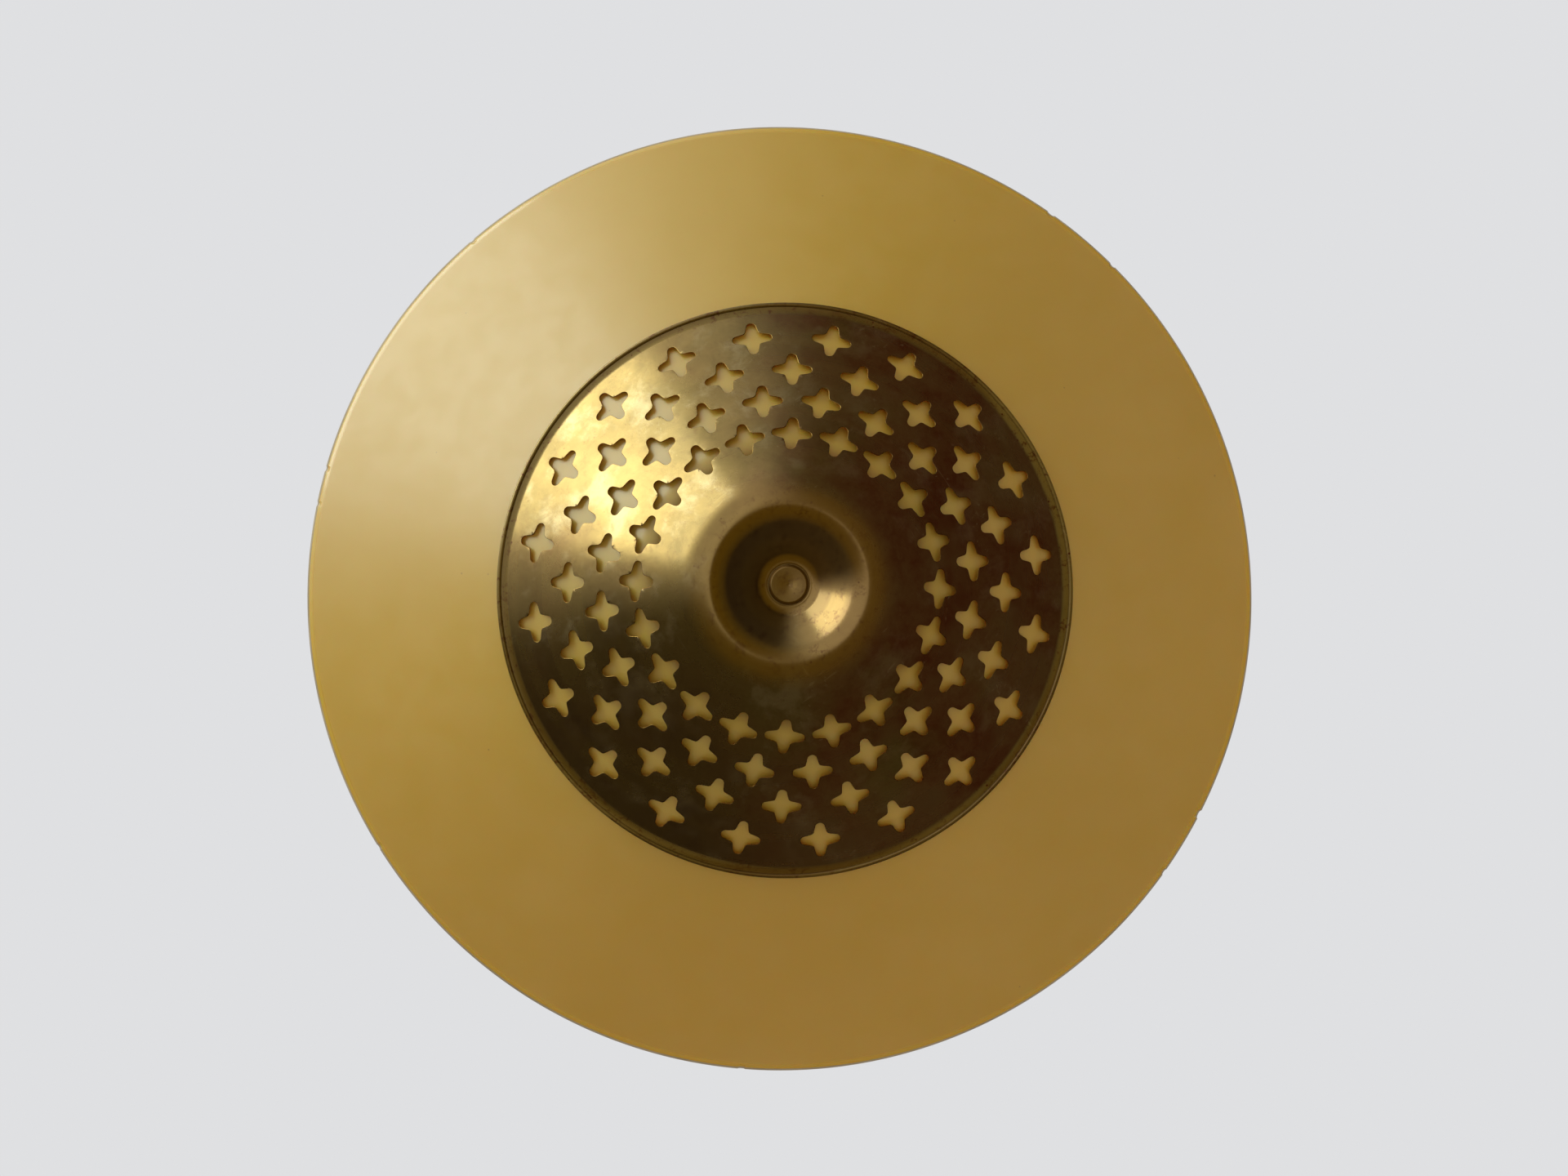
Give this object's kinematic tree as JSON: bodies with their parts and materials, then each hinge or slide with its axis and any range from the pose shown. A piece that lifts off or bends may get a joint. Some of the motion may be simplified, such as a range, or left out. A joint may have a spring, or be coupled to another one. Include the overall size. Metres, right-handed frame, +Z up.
{
  "type": "ceiling lamp",
  "caption": "Flush ceiling lamp: wide conical opal glass shade held at its centre by a star-pierced brass cap screwed on a rod, with small bulbs above it.",
  "frame": {"origin": "middle of the ceiling strap's top face, which lies against the ceiling", "axes": "+Z up into the ceiling along the centre rod; +X along the ceiling strap; the lamp hangs towards -Z"},
  "size_m": [0.4492, 0.45, 0.1536],
  "materials": {
    "opal_glass": "satin amber opal, ground edge",
    "aged_brass": "spun sheet, half polished with brown and olive tarnish",
    "brass": "plain turned brass, a little dulled",
    "white_enamel": "white stoving enamel, slightly yellowed",
    "steel": "zinc-plated steel",
    "porcelain": "white glazed porcelain",
    "felt": "brown pressed felt",
    "rubber": "black rubber",
    "lead_sleeving": "woven cotton sleeving",
    "bulb_glass": "opal bulb glass",
    "copper": "tinned copper tag"
  },
  "bodies": {
    "ceiling_fitting": {"ceiling_strap": "steel", "ceiling_pan": "white_enamel", "pan_locknut": "steel", "holder_bracket": "steel", "bracket_washer": "steel", "bracket_nut": "steel", "centre_rod": "steel", "spacer_tube": "brass", "seat_plate": "brass", "terminal_block": "porcelain", "block_screw": "steel", "earth_tag": "copper", "earth_screw": "brass", "lampholder_1": "porcelain", "lampholder_2": "porcelain", "lampholder_3": "porcelain", "socket_shell_1": "brass", "socket_shell_2": "brass", "socket_shell_3": "brass", "socket_contact_1": "brass", "socket_contact_2": "brass", "socket_contact_3": "brass", "holder_screw_1": "steel", "holder_screw_2": "steel", "holder_screw_3": "steel", "terminal_sleeve_1": "brass", "terminal_sleeve_2": "brass", "terminal_sleeve_3": "brass", "pan_grommet_1": "rubber", "pan_grommet_2": "rubber", "pan_grommet_3": "rubber", "holder_lead_1": "lead_sleeving", "holder_lead_2": "lead_sleeving", "holder_lead_3": "lead_sleeving"},
    "upper_washer": {"upper_felt_washer": "felt"},
    "shade": {"glass_shade": "opal_glass"},
    "lower_washer": {"lower_felt_washer": "felt"},
    "cap": {"star_cap": "aged_brass", "cap_bush": "aged_brass"},
    "bulb_1": {"bulb_cap_1": "brass", "bulb_glass_1": "bulb_glass"},
    "bulb_2": {"bulb_cap_2": "brass", "bulb_glass_2": "bulb_glass"},
    "bulb_3": {"bulb_cap_3": "brass", "bulb_glass_3": "bulb_glass"}
  },
  "joints": [
    {"name": "cap_thread_travel", "type": "slide", "parent": "ceiling_fitting", "child": "upper_washer", "axis": [0, 0, -1], "range_m": [0, 0.0101]},
    {"name": "shade_lift_off", "type": "slide", "parent": "upper_washer", "child": "shade", "axis": [0, 0, -1], "range_m": [0, 0.15]},
    {"name": "cap_lift_off", "type": "slide", "parent": "shade", "child": "lower_washer", "axis": [0, 0, -1], "range_m": [0, 0.05]},
    {"name": "cap_turn", "type": "hinge", "parent": "lower_washer", "child": "cap", "pos_m": [0, 0, -0.14], "axis": [0, 0, -1], "range_deg": [0, 3600]},
    {"name": "bulb_1_turn", "type": "hinge", "parent": "ceiling_fitting", "child": "bulb_1", "pos_m": [0, 0.015, -0.06076], "axis": [0, 0.9781, -0.2079], "range_deg": [0, 1800]},
    {"name": "bulb_2_turn", "type": "hinge", "parent": "ceiling_fitting", "child": "bulb_2", "pos_m": [-0.01299, -0.0075, -0.06076], "axis": [-0.8471, -0.4891, -0.2079], "range_deg": [0, 1800]},
    {"name": "bulb_3_turn", "type": "hinge", "parent": "ceiling_fitting", "child": "bulb_3", "pos_m": [0.01299, -0.0075, -0.06076], "axis": [0.8471, -0.4891, -0.2079], "range_deg": [0, 1800]}
  ],
  "couplings": [
    {"joint": "cap_thread_travel", "follows": "cap_turn", "m_per_rad": 0.00015915}
  ]
}
